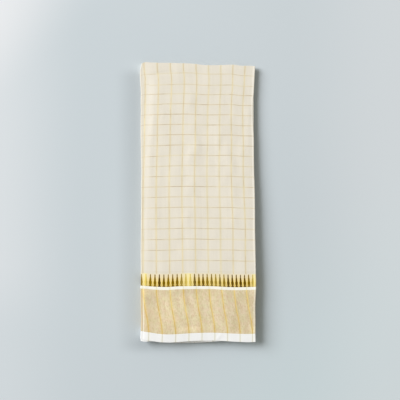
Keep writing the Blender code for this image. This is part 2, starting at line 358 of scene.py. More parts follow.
# How many rows of squares the outer panel's front layer has in each band, from the hem up. The ground has
# two counts, with finer rows past the place where it starts to bend over.
GROUND_BEND = 0.572
BAND_EDGES = (0.0, SELVEDGE_TOP, TISSUE_TOP, STRIPE_TOP, TEMPLE_TOP, GROUND_BEND, PANEL_HEIGHT)
ROW_STEPS = (9, 38, 3, 12, 126, 14)
# Which of the hidden panels' materials each woven band has, from the hem up.
BAND_SLOTS = (0, 1, 0, 2, 3)
# A row this near a band's edge lies on it.
ROW_SLACK = 1e-6
# Distances from the hem of the rows of its back layer, and of the hidden panels' layers.
BACK_ROWS = (
    0.5995, 0.5960, 0.5880, 0.5720, 0.5300, 0.4500, 0.3700, 0.2900, 0.2100, 0.1800,
    TEMPLE_TOP, 0.1330, STRIPE_TOP, TISSUE_TOP, 0.0800, 0.0450, SELVEDGE_TOP, 0.0110, 0.0050, 0.0,
)
HIDDEN_ROWS = (
    0.0, 0.0035, 0.0090, SELVEDGE_TOP, 0.0320, 0.0520, 0.0800, TISSUE_TOP, STRIPE_TOP, 0.1330,
    TEMPLE_TOP, 0.1800, 0.2400, 0.3100, 0.3800, 0.4500, 0.5100, 0.5500, 0.5740, 0.5880, 0.5950, 0.5985,
)

# Painted glints: where the border's gold, and the cotton beside it, are painted brighter, standing in for
# its metal thread tilting to the light. The last two, faint and broad, lighten the figures there a little.
GLINTS = (
    # x, half width, strength
    (-0.1135, 0.0052, 1.0),
    (-0.0205, 0.0092, 0.95),
    (0.1185, 0.0038, 1.0),
    (-0.0345, 0.0060, 0.20),
    (0.0400, 0.0190, 0.24),
)
# Names of the cloth's UV map, and of the values kept at its points.
CLOTH_MAP = "Cloth"
GLINT = "glint"
FROM_LEFT = "from left"
FROM_RIGHT = "from right"


class Leg(NamedTuple):
    """One stretch of the path that a layer of cloth follows.

    Its kind is a run in the upper or the lower half of the stack, or a turn at the left, at the right or
    at the lower half's right. A turn leads from its layer to its partner. Its stops are shares of it.
    """

    kind: str
    layer: int
    partner: int
    stops: np.ndarray


def smooth_rows(table, at):
    """The table's columns after the first at many places, on a cubic curve through its rows.

    Between two rows the value is an S curve from one to the other, plus each row's own slope, which
    fades out towards the other row.
    """
    rows = np.asarray(table, float)
    keys, values = rows[:, 0], rows[:, 1:]
    at = np.clip(np.asarray(at, float), keys[0], keys[-1])
    low = np.clip(np.searchsorted(keys, at, side="right") - 1, 0, len(keys) - 2)
    slopes = np.gradient(values, keys, axis=0)
    span = (keys[low + 1] - keys[low])[..., None]
    share = (at - keys[low])[..., None] / span
    rise = values[low + 1] - values[low]
    eased = share * share * (3 - 2 * share)
    leave = share * (1 - share) ** 2 * span * slopes[low]
    arrive = share * share * (1 - share) * span * slopes[low + 1]
    return np.moveaxis(values[low] + rise * eased + leave - arrive, -1, 0)


def fade(distance, reach):
    """1 up to no distance, falling to 0 at the reach as half a cosine wave."""
    return (1 + np.cos(np.pi * np.clip(distance / reach, 0, 1))) / 2


def bell(distance, half_width):
    """1 at no distance, falling off to both sides as e to the minus square of distance over half width."""
    return np.exp(-((distance / half_width) ** 2))


def side_edges(from_hem):
    """x of the left and the right fold."""
    left, right = smooth_rows(SIDES, from_hem)
    return left - HALF_WIDTH, HALF_WIDTH - right


def across_share(x, from_hem):
    """How far across the panel a place is, from 0 at the left fold to 1 at the right one."""
    left, right = side_edges(from_hem)
    return np.clip((x - left) / (right - left), 0, 1)


def crease_height(x, from_hem):
    """Each crease is a bell across its own wavering line, uneven in height and tapered to nothing at both
    ends. Low waves that cross each other are added all over."""
    height = np.zeros(np.broadcast(x, from_hem).shape)
    for start_x, start_y, end_x, end_y, half_width, rise in CREASES:
        run_x, run_y = end_x - start_x, end_y - start_y
        length = math.hypot(run_x, run_y)
        along = ((x - start_x) * run_x + (from_hem - start_y) * run_y) / length
        aside = ((x - start_x) * run_y - (from_hem - start_y) * run_x) / length
        waver = CREASE_WAVER * half_width * np.sin(LINE_WAVES * along + LINE_PHASE * start_x)
        uneven = 1 + CREASE_WAVER * np.sin(RISE_WAVES * along + RISE_PHASE * end_x)
        taper = np.sin(np.pi * np.clip(along / length, 0, 1)) ** CREASE_TAPER
        height = height + rise * uneven * taper * bell(aside + waver, half_width)
    for across, up, phase, rise in UNEVENNESS:
        height = height + rise * np.sin(2 * np.pi * (across * x + up * from_hem) + phase)
    return height


def stack_top(x, from_hem):
    """Height of the stack's top: its taper, left shoulder, right bead, border waves, groove and creases."""
    left, right = side_edges(from_hem)
    height, shoulder_width, shoulder_drop, reach = smooth_rows(PROFILE, from_hem)
    start, end = left + reach, right - RIGHT_TURN
    x = np.clip(x, start, end)
    height = height - shoulder_drop * fade(x - start, shoulder_width)
    height = height + BEAD_RISE * fade(end - x, BEAD_WIDTH)
    height = height + smooth_rows(RIPPLES, across_share(x, from_hem))[0] * fade(from_hem, RIPPLE_REACH)
    groove = bell(x - left - GROOVE_INSET, GROOVE_WIDTH)
    height = height - GROOVE_DEPTH * groove * fade(from_hem - GROOVE_REACH + GROOVE_END, GROOVE_END)
    calm = 1 - CALM_SHARE * (fade(x - start, CALM_REACH) + fade(end - x, CALM_REACH))
    return height + crease_height(x, from_hem) * calm


def place_y(x, from_hem, hem_shift=0.0, top_shift=0.0, hidden=0.0):
    """y of a place on the cloth: its distance from the hem, plus the wander of the hem and the slope of
    the top fold, each fading out away from where it starts, and the threads' own lift."""
    across = across_share(x, from_hem)
    outer_hem, hidden_hem, stripe, top = smooth_rows(ENDS, across)
    hem = outer_hem + (hidden_hem - outer_hem) * hidden
    hem_share, stripe_share, top_share = smooth_rows(WANDER_REACH, from_hem)
    at_left, in_middle, at_right = smooth_rows(LIFTS, from_hem)
    lift = at_left + in_middle * np.sin(np.pi * across) + at_right * across
    y = from_hem - HALF_HEIGHT + hem * hem_share + stripe * stripe_share - top * top_share + lift
    y = y + hem_shift * fade(from_hem, SHIFT_REACH)
    return y - top_shift * fade(PANEL_HEIGHT - from_hem, SHIFT_REACH)


def tuck(x, z, from_hem):
    """How far the lower layers draw back from the top one's hem, more the lower they lie."""
    amount = smooth_rows(TUCKS, across_share(x, from_hem))[0]
    depth = 1 - z / stack_top(x, from_hem)
    return amount * (1 - fade(depth - TUCK_START, TUCK_DEPTH)) * fade(from_hem, TUCK_REACH)


# ---------------------------------------------------------------- the path that the layers follow


def layer_depths(edge_share):
    """Depth of each layer in its half of the stack, 0 at the outside and 1 in the middle.

    Inside the stack the layers are evenly spaced. Towards an edge (edge_share 1) the gaps before some
    panels open. The result has a row for each layer.
    """
    extra = np.repeat([row[3] for row in HIDDEN_PANELS], 2).astype(float)
    extra[1::2] = 0
    places = (slice(None),) + (None,) * edge_share.ndim
    opened = np.arange(LAYERS_A_HALF)[places] + np.cumsum(extra)[places] * edge_share
    return opened / (LAYERS_A_HALF + extra.sum() * edge_share)


def side_stops(left_steps, right_steps, middle_steps):
    """Shares of a run, close together over its first and last parts and wide apart between them."""
    left_part = LEFT_PART * np.linspace(0, 1, left_steps + 1) ** CROWDING
    right_part = 1 - RIGHT_PART * np.linspace(1, 0, right_steps + 1) ** CROWDING
    middle = np.linspace(LEFT_PART, 1 - RIGHT_PART, middle_steps + 1)[1:-1]
    return np.concatenate([left_part, middle, right_part])


def left_stops():
    """Shares of the left turn, evenly spread over its top, its upright face and its underside.

    The first ones stand at even distances out from the shoulder and the rest at even heights, and each
    is turned back into the ellipse's own angle, by undoing the power that squares it off.
    """
    out, up = (np.array(shares) ** (1 / PRESSED_LEFT) for shares in (LEFT_OUT, LEFT_UP))
    quarter = np.concatenate([np.arcsin(out), np.arccos(up), [np.pi / 2]]) / np.pi
    return np.concatenate([quarter, 1 - quarter[-2::-1]])


def pressed_ellipse(angle, pressed):
    """A half ellipse's reach and height, as its sine and cosine with their sizes raised to a power."""
    out, up = np.sin(angle), np.cos(angle)
    return np.abs(out) ** pressed, np.sign(up) * np.abs(up) ** pressed


def fold_relief(height_share, from_hem):
    """Slanting waves over the left fold, never inwards, and none at its top and bottom edges."""
    total = np.zeros(np.broadcast(height_share, from_hem).shape)
    for along, up, phase, depth in FOLD_WAVES:
        total = total + depth * (1 + np.sin(2 * np.pi * (along * from_hem + up * height_share) + phase))
    return total * (1 - height_share**2)


def lower_inset(layer):
    """How far inside the right side's line the lower end of this layer's panel stops."""
    return next(inset for last, inset in LOWER_ENDS if layer <= last)


def leg_points(leg, layer, partner, from_hem):
    """x and z of one leg for one layer, with a row of points for each stop and a column for each row.

    A run is a straight line across the panel at the layer's depth. A turn is half an ellipse from one
    layer to its partner, so nested layers turn round each other. The side folds' ellipses are pressed
    nearly square.
    """
    stops = leg.stops[:, None]
    left, right = side_edges(from_hem)
    reach = smooth_rows(PROFILE, from_hem)[3]
    shoulder, upper_end = left + reach, right - RIGHT_TURN
    lower_end = right - lower_inset(layer) - LOWER_TURN
    ends_near = np.maximum(fade(from_hem, GAP_REACH), fade(PANEL_HEIGHT - from_hem, GAP_REACH))

    def depth_of(index, x):
        """A layer's depth at x, where the gaps open towards the hem, the top fold and the right side."""
        return layer_depths(np.maximum(ends_near, fade(upper_end - x, GAP_REACH)))[index]

    def level(index, x, upper):
        """A layer's height at x: so far down from the stack's top, or up from the floor."""
        share = depth_of(index, x) / 2
        return stack_top(x, from_hem) * (1 - share if upper else share)

    if leg.kind in ("upper", "lower"):
        upper = leg.kind == "upper"
        x = shoulder + ((upper_end if upper else lower_end) - shoulder) * stops
        return x, level(layer, x, upper)
    if leg.kind == "left":
        out, up = pressed_ellipse(np.pi * stops, PRESSED_LEFT)
        share = 1 - depth_of(layer, shoulder)
        half = stack_top(shoulder, from_hem) / 2
        relief = fold_relief(up, from_hem) if layer < OUTER_LAYERS else 0.0
        return shoulder - (reach * out + relief) * share, half + half * share * up
    if leg.kind == "right":
        start, pressed = upper_end, PRESSED_RIGHT
        turn = RIGHT_TURN * (1 - RIGHT_NESTING * min(layer, partner) / PANELS_A_HALF)
    else:
        start, pressed = lower_end, 1.0
        turn = LOWER_TURN * abs(partner - layer) / PANELS_A_HALF
    out, up = pressed_ellipse(np.pi * stops, pressed)
    first, second = (level(index, start, leg.kind == "right") for index in (layer, partner))
    return start + turn * out, (first + second) / 2 + (first - second) / 2 * up


def passing(leg, own, other):
    """A value along a leg. A run keeps its own panel's, and a turn passes smoothly to its partner's."""
    turns = leg.kind in ("right", "low_right")
    share = (1 - np.cos(np.pi * leg.stops)) / 2 if turns else 0 * leg.stops
    return own + (other - own) * share[:, None]


def strip_points(legs, front_rows, back_rows):
    """Every point of a doubled strip of cloth that follows the legs.

    The front layer runs from the hem to the top fold, rolls over in a small half circle and runs back
    down to its own hem as the back layer. Returns the points, each row's distance from the hem, and which
    leg each column is in.
    """
    layers = []
    for rows, behind in ((front_rows, 0), (back_rows, 1)):
        from_hem = rows[None, :]
        parts = []
        for leg in legs:
            # ^ 1 gives the panel's other layer.
            layer, partner = leg.layer ^ behind, leg.partner ^ behind
            x, z = leg_points(leg, layer, partner, from_hem)
            panels = zip(HIDDEN_PANELS[layer // 2], HIDDEN_PANELS[partner // 2])
            _, hem_shift, top_shift, _, second_hem = (passing(leg, *pair) for pair in panels)
            hidden = passing(leg, float(layer >= OUTER_LAYERS), float(partner >= OUTER_LAYERS))
            y = place_y(x, from_hem, hem_shift + second_hem * behind, top_shift, hidden)
            parts.append(np.stack([x, y + tuck(x, z, from_hem), z]))
        layers.append(np.concatenate(parts, axis=1))
    front, back = layers
    first, last = front[..., -1:], back[..., :1]
    angle = np.linspace(0, np.pi, ROLL_STEPS + 2)[1:-1]
    roll = (first + last) / 2 + (first - last) / 2 * np.cos(angle)
    roll[1] += np.hypot(first[0] - last[0], first[2] - last[2]) / 2 * np.sin(angle)
    points = np.moveaxis(np.concatenate([front, roll, back], axis=2), 0, -1)
    from_hem = np.concatenate([front_rows, np.full(ROLL_STEPS, PANEL_HEIGHT), back_rows])
    leg_of_column = np.repeat(np.arange(len(legs)), [len(leg.stops) for leg in legs])
    return points, from_hem, leg_of_column


def path(*steps):
    """The legs of a path. A leg's first stop is left out where it is the last stop of the one before."""
    return [Leg(*step, stops[1:] if index else stops) for index, (*step, stops) in enumerate(steps)]


def outer_path():
    """From inside the upper half, round its right side, over the top, round the left side, under the
    stack and round the lowest four panels."""
    turn = np.linspace(0, 1, TURN_STEPS + 1)
    inside = np.linspace(INSIDE_SHARE, 1, INSIDE_STEPS + 1)
    return path(
        ("upper", 15, 15, inside),
        ("right", 15, 0, turn),
        ("upper", 0, 0, side_stops(*TOP_STEPS)[::-1]),
        ("left", 0, 0, left_stops()),
        ("lower", 0, 0, side_stops(*UNDER_STEPS)),
        ("low_right", 0, 7, turn),
        ("lower", 7, 7, inside[::-1]),
    )


def hidden_paths():
    """The rest of the cloth: the short stretch to one cut end, and the long one to the other."""
    run = side_stops(*HIDDEN_STEPS)
    turn = np.linspace(0, 1, HIDDEN_TURN_STEPS + 1)
    to_inside = np.append(run[run < INSIDE_SHARE - LEAST_STEP], INSIDE_SHARE)
    short = path(
        ("lower", 15, 15, run[::-1]),
        ("left", 15, 15, turn[::-1]),
        ("upper", 15, 15, to_inside),
    )
    steps = []
    for low, across, low_next in ((7, 8, 11), (11, 4, 3), (3, 12, None)):
        # Right to left along the lower half, round the left fold, back along the upper half, and the same
        # way back to the lower half's right side.
        steps += [("lower", low, low, run[::-1] if steps else to_inside[::-1])]
        steps += [("left", low, low, turn[::-1]), ("upper", low, low, run), ("right", low, across, turn)]
        steps += [("upper", across, across, run[::-1]), ("left", across, across, turn)]
        steps += [("lower", across, across, run)]
        if low_next is not None:
            steps += [("low_right", across, low_next, turn)]
    return short, path(*steps)


# ---------------------------------------------------------------- meshes


def cross_place(x, from_hem):
    """"Along" of a place on the top panel: its share of the way from the first cross stripe to the last,
    less the middle's bulge, times their real distance apart."""
    first, last, bulge = smooth_rows(CROSS_STRIPES, from_hem)
    share = (x - first) / (last - first)
    share = share - bulge / (last - first) * np.sin(np.pi * share)
    return share * (CROSS_COUNT - 1) * CROSS_PITCH


def along_path(points):
    """Distance along the path from its first column to each point."""
    steps = np.linalg.norm(np.diff(points[..., [0, 2]], axis=0), axis=-1)
    return np.concatenate([np.zeros((1,) + steps.shape[1:]), np.cumsum(steps, axis=0)])


def outer_along(points, from_hem, leg_of_column):
    """"Along" of the outer panel: fixed by the cross stripes on top, and carried on from there."""
    distance = along_path(points)
    start, end = np.nonzero(leg_of_column == TOP_LEG)[0][[0, -1]]
    along = cross_place(points[..., 0], from_hem[None, :])
    before = along[start] + distance[start] - distance[:start]
    after = along[end] - (distance[end + 1 :] - distance[end])
    return np.concatenate([before, along[start : end + 1], after])


def grid_faces(columns, rows):
    """Corners of each square of a grid, turned so that the top panel faces up."""
    index = np.arange(columns * rows).reshape(columns, rows)
    corners = (index[:-1, :-1], index[:-1, 1:], index[1:, 1:], index[1:, :-1])
    return np.stack([corner.ravel() for corner in corners], axis=1)


def glint(x):
    """The painted glint, for the cloth tilting to the light: the sum of a bell across each place, and at most
    1.
    """
    return np.clip(sum(strength * bell(x - middle, width) for middle, width, strength in GLINTS), 0, 1)


def add_object(name, data):
    """A new object in the scene, at the origin."""
    item = bpy.data.objects.new(name, data)
    bpy.context.scene.collection.objects.link(item)
    return item


def cloth_mesh(name, grids, materials):
    """A mesh from grids of points, each with its place on the cloth, its point values and its materials."""
    points, faces, cloth, slots = [], [], [], []
    values = {GLINT: [], FROM_LEFT: [], FROM_RIGHT: []}
    count = 0
    for grid in grids:
        columns, rows = grid["points"].shape[:2]
        points.append(grid["points"].reshape(-1, 3))
        faces.append(grid_faces(columns, rows) + count)
        from_hem = np.broadcast_to(grid["from_hem"], (columns, rows))
        cloth.append(np.stack([grid["along"], from_hem], axis=-1).reshape(-1, 2))
        slots.append(np.broadcast_to(grid["slots"], (columns - 1, rows - 1)).ravel())
        x = grid["points"][..., 0]
        left, right = side_edges(from_hem)
        for kept, value in zip(values.values(), (glint(x), x - left, right - x)):
            kept.append(value.ravel())
        count += columns * rows
    mesh = bpy.data.meshes.new(name)
    mesh.from_pydata(np.concatenate(points), [], np.concatenate(faces))
    mesh.polygons.foreach_set("material_index", np.concatenate(slots).astype(np.int32))
    corners = np.zeros(len(mesh.loops), np.int32)
    mesh.loops.foreach_get("vertex_index", corners)
    uv_map = mesh.uv_layers.new(name=CLOTH_MAP)
    uv_map.data.foreach_set("uv", np.concatenate(cloth)[corners].astype(np.float32).ravel())
    for value_name, kept in values.items():
        attribute = mesh.attributes.new(value_name, "FLOAT", "POINT")
        attribute.data.foreach_set("value", np.concatenate(kept).astype(np.float32))
    for material in materials:
        mesh.materials.append(material)
    mesh.shade_smooth()
    mesh.update()
    return add_object(name, mesh)


def thicken(piece, thickness):
    """The cloth's own thickness, grown inwards, with its raw edges too thin to bend the shading."""
    wall = piece.modifiers.new("Cloth thickness", "SOLIDIFY")
    wall.thickness = thickness
    wall.offset = -1.0
    normals = piece.modifiers.new("Edge shading", "WEIGHTED_NORMAL")
    normals.mode = "FACE_AREA"
    normals.weight = 100


@functools.cache
def outer_grid():
    """The whole outer panel, worked out once for all its bands: its points, each row's distance from the
    hem, each point's place along the cloth, and which row is the back layer's first."""
    parts = [
        np.linspace(low, high, steps, endpoint=False)
        for low, high, steps in zip(BAND_EDGES, BAND_EDGES[1:], ROW_STEPS)
    ]
    front = np.append(np.concatenate(parts), PANEL_HEIGHT)
    points, from_hem, leg_of_column = strip_points(outer_path(), front, np.array(BACK_ROWS))
    return points, from_hem, outer_along(points, from_hem, leg_of_column), len(front) + ROLL_STEPS


def outer_band(low, high):
    """The grids of the outer panel between two distances from the hem: its front and its back layer, or
    both in one where the band runs over the top fold."""
    points, from_hem, along, first_back = outer_grid()
    inside = np.nonzero((from_hem > low - ROW_SLACK) & (from_hem < high + ROW_SLACK))[0]
    picks = [inside] if high >= PANEL_HEIGHT else [inside[inside < first_back], inside[inside >= first_back]]
    return [
        {"points": points[:, pick], "along": along[:, pick], "from_hem": from_hem[pick], "slots": 0}
        for pick in picks
    ]


def hidden_grids():
    """The hidden panels' grids, with its band's material on each row of squares, and the length of cloth
    in them. "Along" runs on down each path, measured halfway up the panel."""
    rows = np.array(HIDDEN_ROWS)
    band = np.digitize((rows[:-1] + rows[1:]) / 2, BAND_EDGES[1:5])
    band = np.concatenate([band, np.full(ROLL_STEPS + 1, band[-1]), band[::-1]])
    slots = np.array(BAND_SLOTS)[band]
    grids, length = [], 0.0
    for legs in hidden_paths():
        points, from_hem, _ = strip_points(legs, rows, rows[::-1])
        distance = along_path(points)
        halfway = distance.shape[1] // 2
        along = np.broadcast_to(HIDDEN_ALONG - distance[:, halfway, None], distance.shape)
        grids.append({"points": points, "along": along, "from_hem": from_hem, "slots": slots})
        length += float(distance[-1].mean())
    return grids, length


def build_band(name, node, low, high, material):
    """One woven band of the outer panel as its own sheet, in place of its plain solid."""
    piece = cloth_mesh(name, outer_band(low, high), [material])
    thicken(piece, bpy.context.scene.dhoti_cloth.thickness)
    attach(piece, "root")
    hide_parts(node)
    length = float(along_path(outer_grid()[0])[-1].mean())


# ---------------------------------------------------------------- shader nodes


class Signal:
    """What a shader node puts out. Sums, products and the like of it add the nodes that work them out."""

    def __init__(self, socket):
        self.socket = socket

    @property
    def tree(self):
        """The node tree that it is in."""
        return self.socket.id_data

    def __add__(self, other):
        return maths("ADD", self, other)

    def __sub__(self, other):
        return maths("SUBTRACT", self, other)

    def __rsub__(self, other):
        return maths("SUBTRACT", other, self)

    def __mul__(self, other):
        return maths("MULTIPLY", self, other)

    def __truediv__(self, other):
        return maths("DIVIDE", self, other)

    def __rtruediv__(self, other):
        return maths("DIVIDE", other, self)

    def __abs__(self):
        return maths("ABSOLUTE", self)


def wire(node, values):
    """Sets a node's inputs: a signal is linked, and anything else is the input's own value."""
    for key, value in values.items():
        if isinstance(value, Signal):
            value.tree.links.new(value.socket, node.inputs[key])
        else:
            node.inputs[key].default_value = value
    return node


def add_node(tree, kind, **settings):
    """A new node with its own settings, such as its operation."""
    node = tree.nodes.new(kind)
    for name, value in settings.items():
        setattr(node, name, value)
    return node


def derive(kind, values, output=0, **settings):
    """What a new node makes of its values, in the tree of the first signal among them."""
    tree = next(value.tree for value in values.values() if isinstance(value, Signal))
    return Signal(wire(add_node(tree, kind, **settings), values).outputs[output])


def maths(operation, *values):
    """A number from others."""
    return derive("ShaderNodeMath", dict(enumerate(values)), operation=operation)


def vector_maths(operation, *values):
    """A vector from others, or the length of one."""
    output = "Value" if operation == "LENGTH" else "Vector"
    return derive("ShaderNodeVectorMath", dict(enumerate(values)), output, operation=operation)


def split(vector):
    """A vector's first two numbers: a cloth place's along and from hem, or a floor place's x and y."""
    outputs = wire(add_node(vector.tree, "ShaderNodeSeparateXYZ"), {0: vector}).outputs
    return Signal(outputs[0]), Signal(outputs[1])


def smooth_step(value, start, end, from_value=0.0, to_value=1.0):
    """An S curve from one value at the start to the other at the end."""
    values = {"Value": value, "From Min": start, "From Max": end, "To Min": from_value, "To Max": to_value}
    return derive("ShaderNodeMapRange", values, interpolation_type="SMOOTHSTEP")


def between(mask, plain, full):
    """The plain value where the mask is 0 and the full one where it is 1, on a straight line."""
    return mask * (full - plain) + plain


def soft_band(value, middle, inner, outer, inside=1.0, outside=0.0):
    """One value up to the inner distance from the middle, and an S curve to the other at the outer."""
    return smooth_step(abs(value - middle), inner, outer, inside, outside)


def mix_colours(factor, first, second, blend_type="MIX"):
    """Two colours mixed, each of them a signal or three plain numbers."""
    first, second = (colour if isinstance(colour, Signal) else (*colour, 1.0) for colour in (first, second))
    values = {0: factor, 6: first, 7: second}
    return derive("ShaderNodeMix", values, 2, data_type="RGBA", blend_type=blend_type)


def layered(colour, *layers):
    """A colour with others laid over it in turn. Each layer is its mask, its colour and how it blends."""
    for mask, over, *blend_type in layers:
        colour = mix_colours(mask, colour, over, *blend_type)
    return colour


def scaled(colour, gain):
    """A colour made lighter or darker."""
    return derive("ShaderNodeVectorMath", {0: colour, "Scale": gain}, operation="SCALE")


# The cloth's unevenness, each a noise of its own.
NOISES = {
    # grains a metre along, grains a metre up, detail, seed
    "cross yarn": (760.0, 11.0, 3.0, 3.0),
    "thick yarn": (190.0, 5.0, 2.0, 9.0),
    "long yarn": (9.0, 620.0, 3.0, 5.0),
    "yarn cloud": (16.0, 14.0, 2.0, 1.0),
    "stripe wobble": (3.0, 22.0, 1.0, 2.0),
    "thread sag": (20.0, 3.0, 1.0, 7.0),
    "stripe light": (34.0, 34.0, 2.0, 4.0),
    "thread light": (34.0, 40.0, 2.0, 8.0),
    "thread wear": (30.0, 44.0, 2.0, 17.0),
    "tower lean": (110.0, 30.0, 1.0, 6.0),
    "tower edge": (500.0, 700.0, 1.0, 21.0),
    "tower grain": (1500.0, 420.0, 2.0, 11.0),
    "tissue grain": (430.0, 230.0, 3.0, 13.0),
    "tissue fibre": (230.0, 60.0, 2.0, 23.0),
    "tissue haze": (85.0, 42.0, 2.0, 15.0),
    "tissue tint": (150.0, 110.0, 2.0, 31.0),
}
# A noise's seed moves it along by so many of its grains, and up by so many times this. Each noise is a
# slice of a solid pattern, cut at this level.
SEED_SLOPE, NOISE_LEVEL, NOISE_ROUGHNESS = 1.7, 0.37, 0.55


def noise(cloth, name):
    """One of the table's noises, a value about 0.5."""
    along, up, detail, seed = NOISES[name]
    place = vector_maths("MULTIPLY", cloth, (along, up, 1.0))
    place = vector_maths("ADD", place, (seed, SEED_SLOPE * seed, NOISE_LEVEL))
    values = {"Vector": place, "Scale": 1.0, "Detail": detail, "Roughness": NOISE_ROUGHNESS}
    return derive("ShaderNodeTexNoise", values)


def named_outputs(node):
    """A node's outputs by name."""
    return {socket.name: Signal(socket) for socket in node.outputs}


def group(name, numbers, outputs, build):
    """A shader node group, made once and found by name afterwards. Places on the cloth and the named
    numbers go in, and named numbers come out."""
    tree = bpy.data.node_groups.get(name)
    if tree:
        return tree
    tree = bpy.data.node_groups.new(name, "ShaderNodeTree")
    tree.interface.new_socket("Cloth", in_out="INPUT", socket_type="NodeSocketVector")
    for socket_name, default in numbers.items():
        socket = tree.interface.new_socket(socket_name, in_out="INPUT", socket_type="NodeSocketFloat")
        socket.default_value = default
    for socket_name in outputs:
        tree.interface.new_socket(socket_name, in_out="OUTPUT", socket_type="NodeSocketFloat")
    entry = named_outputs(add_node(tree, "NodeGroupInput"))
    wire(add_node(tree, "NodeGroupOutput"), build(entry))
    return tree


def use_group(node_group, cloth, **numbers):
    """The outputs of a node group placed in a tree, given the cloth and its numbers by name."""
    node = add_node(cloth.tree, "ShaderNodeGroup", node_tree=node_group)
    values = {name.replace("_", " ").capitalize(): value for name, value in numbers.items()}
    return named_outputs(wire(node, {"Cloth": cloth, **values}))


# How softly a thread of the weave passes over the next.
WEAVE_SOFTNESS = 0.15


def plain_weave():
    """Threads over and under each other: the height is a round thread across the cloth in every other
    square of the weave and a round thread along it in the rest."""

    def build(entry):
        along, from_hem = split(entry["Cloth"])
        turns = math.pi / entry["Thread pitch"]
        across_wave, up_wave = maths("SINE", along * turns), maths("SINE", from_hem * turns)
        over = smooth_step(across_wave * up_wave, -WEAVE_SOFTNESS, WEAVE_SOFTNESS)
        cross_thread, long_thread = abs(across_wave), abs(up_wave)
        return {"Height": over * (cross_thread - long_thread) + long_thread}

    return group("Plain weave", {"Thread pitch": 0.0004}, ("Height",), build)


# Thick and thin stretches of handspun thread, from fine streaks both ways to broad clouds.
YARN_STRENGTHS = {"cross yarn": 0.9, "thick yarn": 1.0, "long yarn": 0.6, "yarn cloud": 0.8}


def yarn_streaks():
    """Handspun yarn: the sum of the table's noises, each about 0 and times its strength."""

    def build(entry):
        first, *others = (
            (noise(entry["Cloth"], name) - 0.5) * strength for name, strength in YARN_STRENGTHS.items()
        )
        return {"Streak": sum(others, first)}

    return group("Yarn streaks", {}, ("Streak",), build)


# How far a cross stripe and a long thread stray from their places.
STRIPE_WOBBLE, THREAD_SAG = 0.0012, 0.0014
# Distances from a thread's middle, as shares of its width: it is full up to the first, gone at the
# second, and its halo is gone at the third.
THREAD_CORE, THREAD_EDGE, HALO_EDGE = 0.2, 0.9, 3.25
# How much lighter a cross stripe's tone is for each metre to its right, and how much darker, as painted
# shade, at the top fold, between two distances from the hem.
STRIPE_LEAN = 170.0
FOLD_SHADE = (0.572, 0.590, 0.0, 0.25)


def gold_check():
    """The check's gold threads: cross stripes stand a pitch apart along the cloth, and long threads a
    pitch apart up it. Each mask is 1 on the thread and falls off over its soft edge. A halo, about three
    times as wide, is where the gold's colour washes over the white threads beside it. The tones are
    painted highlight and shade that wander slowly along each thread, for it turning to and from the light."""

    def build(entry):
        cloth = entry["Cloth"]
        along, from_hem = split(cloth)
        wobble = (noise(cloth, "stripe wobble") - 0.5) * STRIPE_WOBBLE
        sag = (noise(cloth, "thread sag") - 0.5) * THREAD_SAG
        places = {"Cross": along + wobble, "Long": from_hem - entry["Long start"] + sag}
        outputs, aside = {}, {}
        for name, place in places.items():
            half_pitch = entry[name + " pitch"] * 0.5
            aside[name] = maths("WRAP", place, half_pitch, half_pitch * -1.0)
            width = entry[name + " width"]
            core, edge, halo_edge = (width * share for share in (THREAD_CORE, THREAD_EDGE, HALO_EDGE))
            outputs[name] = smooth_step(abs(aside[name]), core, edge, 1.0, 0.0)
            outputs[name + " halo"] = smooth_step(abs(aside[name]), core, halo_edge, 1.0, 0.0)
        lit = noise(cloth, "stripe light") + aside["Cross"] * STRIPE_LEAN
        lit = lit - smooth_step(from_hem, *FOLD_SHADE)
        outputs["Cross tone"] = smooth_step(lit, 0.34, 0.66)
        outputs["Long tone"] = smooth_step(noise(cloth, "thread light"), 0.36, 0.64)
        return outputs

    numbers = {
        "Cross pitch": 0.027,
        "Long pitch": 0.0224,
        "Long start": 0.0,
        "Cross width": 0.0011,
        "Long width": 0.0007,
    }
    outputs = ("Cross", "Cross halo", "Long", "Long halo", "Cross tone", "Long tone")
    return group("Gold check", numbers, outputs, build)


# A temple figure's half width, as a share of half the pitch, from its foot to its tip.
TEMPLE_STEPS = (
    # height share, half width share
    (0.00, 0.62),
    (0.07, 0.64),
    (0.10, 0.42),
    (0.18, 0.40),
    (0.22, 0.64),
    (0.40, 0.64),
    (0.45, 0.47),
    (0.56, 0.46),
    (0.60, 0.42),
    (0.72, 0.35),
    (0.79, 0.23),
    (0.87, 0.27),
    (1.00, 0.18),
)
# How far the towers lean from their places, how ragged their sides are and how soft, as shares of half
# the pitch, and the shares of their height between which their tips end.
TOWER_LEAN = 0.0011
TOWER_RAGGED, TOWER_SOFTNESS = 0.16, 0.07
TOWER_TIP = (0.985, 1.02)


